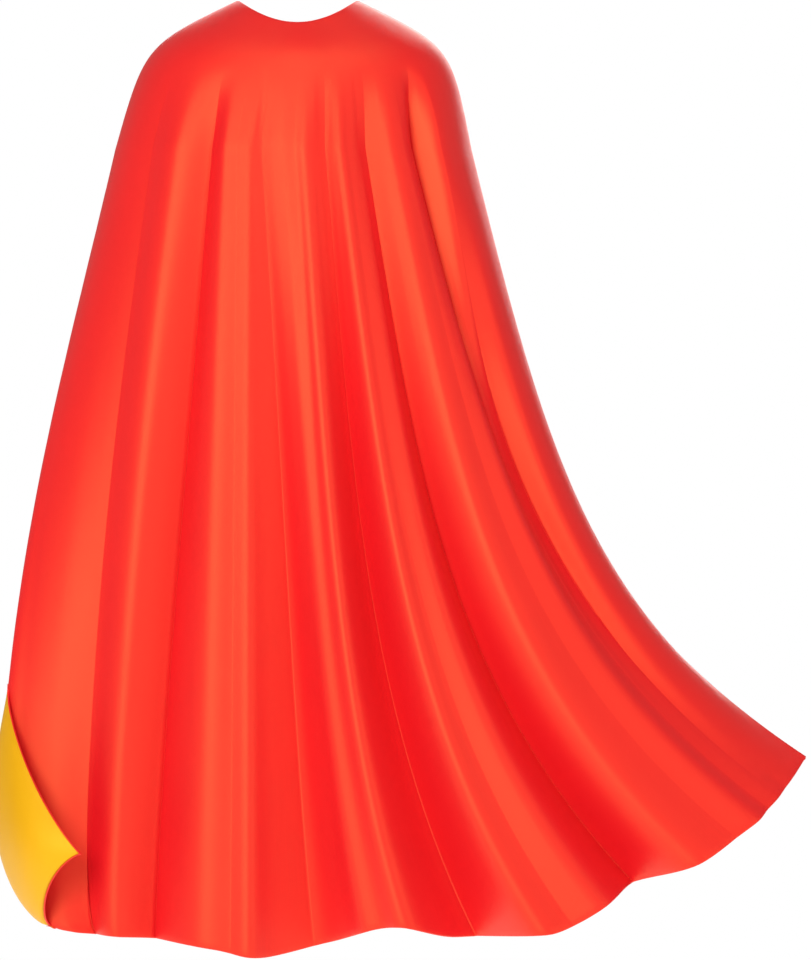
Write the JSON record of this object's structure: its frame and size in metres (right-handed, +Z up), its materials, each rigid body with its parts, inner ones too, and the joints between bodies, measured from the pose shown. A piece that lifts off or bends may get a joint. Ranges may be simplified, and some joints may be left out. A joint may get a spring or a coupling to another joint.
{
  "type": "superhero cape",
  "caption": "Child's dress-up superhero cape in red satin with a yellow satin lining, a hook-and-loop throat closure and one corner of the hem turned up.",
  "frame": {"origin": "centre of the neck opening, level with the tops of its two sides", "axes": "+Z up, +Y the way the wearer faces, so the back of the cape faces -Y and its swept tail points to +X"},
  "size_m": [0.5922, 0.2218, 0.7008],
  "materials": {
    "red_satin": "satin",
    "yellow_satin": "satin",
    "hook_tape": "matte",
    "loop_tape": "matte",
    "sewing_thread": "matte",
    "label_satin": "satin"
  },
  "bodies": {
    "yoke": {"yoke_shell": "red_satin", "yoke_lining": "yellow_satin", "care_label": "label_satin"},
    "skirt": {"skirt_shell": "red_satin", "skirt_lining": "yellow_satin"},
    "corner": {"corner_shell": "red_satin", "corner_lining": "yellow_satin"},
    "right_tab": {"right_tab_shell": "red_satin", "right_tab_lining": "yellow_satin", "hook_patch": "hook_tape", "hook_patch_stitching": "sewing_thread"},
    "left_tab": {"left_tab_shell": "red_satin", "left_tab_lining": "yellow_satin", "loop_patch": "loop_tape", "loop_patch_stitching": "sewing_thread"}
  },
  "joints": [
    {"name": "skirt_billow", "type": "hinge", "parent": "yoke", "child": "skirt", "pos_m": [0, -0.0894, -0.11], "axis": [-1, 0, 0], "range_deg": [0, 45]},
    {"name": "corner_fold", "type": "hinge", "parent": "skirt", "child": "corner", "pos_m": [-0.22158, -0.07123, -0.59444], "axis": [0.1733, -0.191, -0.9662], "range_deg": [0, 100]},
    {"name": "right_tab_open", "type": "hinge", "parent": "yoke", "child": "right_tab", "pos_m": [0.03888, 0.02647, -0.00882], "axis": [0.8815, -0.0333, -0.471], "range_deg": [0, 80]},
    {"name": "left_tab_open", "type": "hinge", "parent": "yoke", "child": "left_tab", "pos_m": [-0.03889, 0.02646, -0.00881], "axis": [0.8815, 0.0333, 0.471], "range_deg": [0, 28]}
  ],
  "couplings": [
    {"joint": "left_tab_open", "follows": "right_tab_open", "ratio": 0.35}
  ]
}
